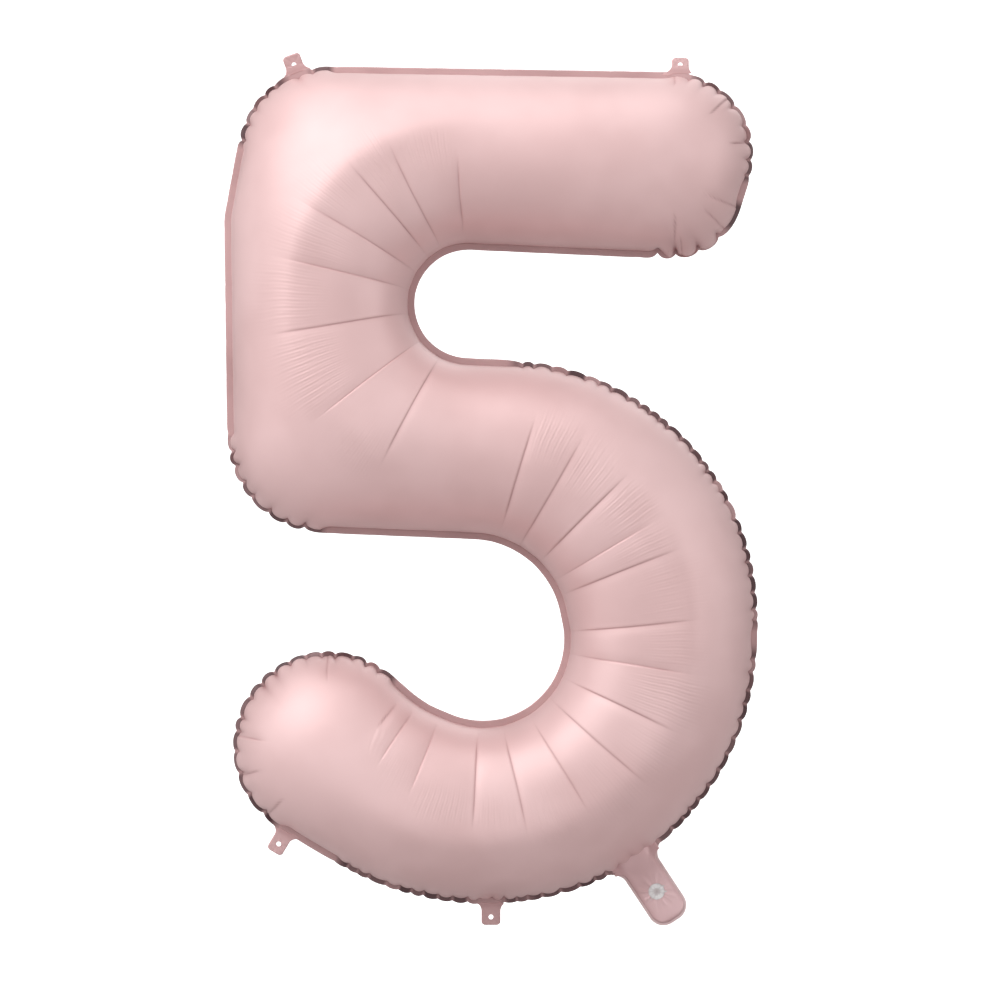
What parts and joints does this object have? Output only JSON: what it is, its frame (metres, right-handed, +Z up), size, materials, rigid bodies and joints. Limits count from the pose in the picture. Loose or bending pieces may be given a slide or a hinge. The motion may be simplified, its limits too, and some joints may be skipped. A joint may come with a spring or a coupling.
{
  "type": "foil number balloon",
  "caption": "Inflated foil balloon shaped as the digit five, with a flat sealed margin, punched hanging tabs and a flat inflation tail with a valve.",
  "frame": {"origin": "midway between the punched holes of the two top tabs, in the plane of the seam", "axes": "the digit stands upright in the XZ plane: +Z up, +X to the right as it is read, and its front faces -Y"},
  "size_m": [0.5595, 0.2094, 0.914],
  "materials": {
    "front_film": "metallised plastic film, satin pastel pink, puckered along the seam",
    "back_film": "metallised plastic film, satin pastel pink, puckered along the seam",
    "margin": "two films heat-sealed flat, satin, slightly darker",
    "tab_film": "two films heat-sealed flat, satin",
    "tail_film": "metallised plastic film lying flat, satin",
    "tail_seal": "two films heat-sealed flat, paler",
    "valve_film": "clear, slightly milky polyethylene film"
  },
  "bodies": {
    "envelope": {"front_panel": "front_film", "back_panel": "back_film", "seam_margin": "margin", "mouth_front_film": "tail_film", "mouth_back_film": "tail_film", "valve_front_film": "valve_film", "valve_back_film": "valve_film"},
    "hang_tab_top_left": {"hang_tab_top_left": "tab_film"},
    "hang_tab_top_right": {"hang_tab_top_right": "tab_film"},
    "hang_tab_lower_left": {"hang_tab_lower_left": "tab_film"},
    "hang_tab_bottom": {"hang_tab_bottom": "tab_film"},
    "inflation_tail": {"tail_front_film": "tail_film", "tail_back_film": "tail_film", "tail_edge_seal": "tail_seal", "tail_valve_front_film": "valve_film", "tail_valve_back_film": "valve_film"}
  },
  "joints": [
    {"name": "hang_tab_top_left_fold", "type": "hinge", "parent": "envelope", "child": "hang_tab_top_left", "pos_m": [-0.20009, 0, -0.00608], "axis": [0.9397, 0, 0.342], "range_deg": [-105, 105], "stiffness_Nm_per_rad": 0.00002},
    {"name": "hang_tab_top_right_fold", "type": "hinge", "parent": "envelope", "child": "hang_tab_top_right", "pos_m": [0.2023, 0, -0.00651], "axis": [1, 0, 0], "range_deg": [-105, 105], "stiffness_Nm_per_rad": 0.00002},
    {"name": "hang_tab_lower_left_fold", "type": "hinge", "parent": "envelope", "child": "hang_tab_lower_left", "pos_m": [-0.21179, 0, -0.8052], "axis": [-0.8572, 0, 0.515], "range_deg": [-105, 105], "stiffness_Nm_per_rad": 0.00002},
    {"name": "hang_tab_bottom_fold", "type": "hinge", "parent": "envelope", "child": "hang_tab_bottom", "pos_m": [0.004, 0, -0.8805], "axis": [-1, 0, 0], "range_deg": [-105, 105], "stiffness_Nm_per_rad": 0.00002},
    {"name": "inflation_tail_fold", "type": "hinge", "parent": "envelope", "child": "inflation_tail", "pos_m": [0.15761, 0, -0.83583], "axis": [-0.8348, 0, -0.5505], "range_deg": [-105, 105], "stiffness_Nm_per_rad": 0.00006}
  ]
}
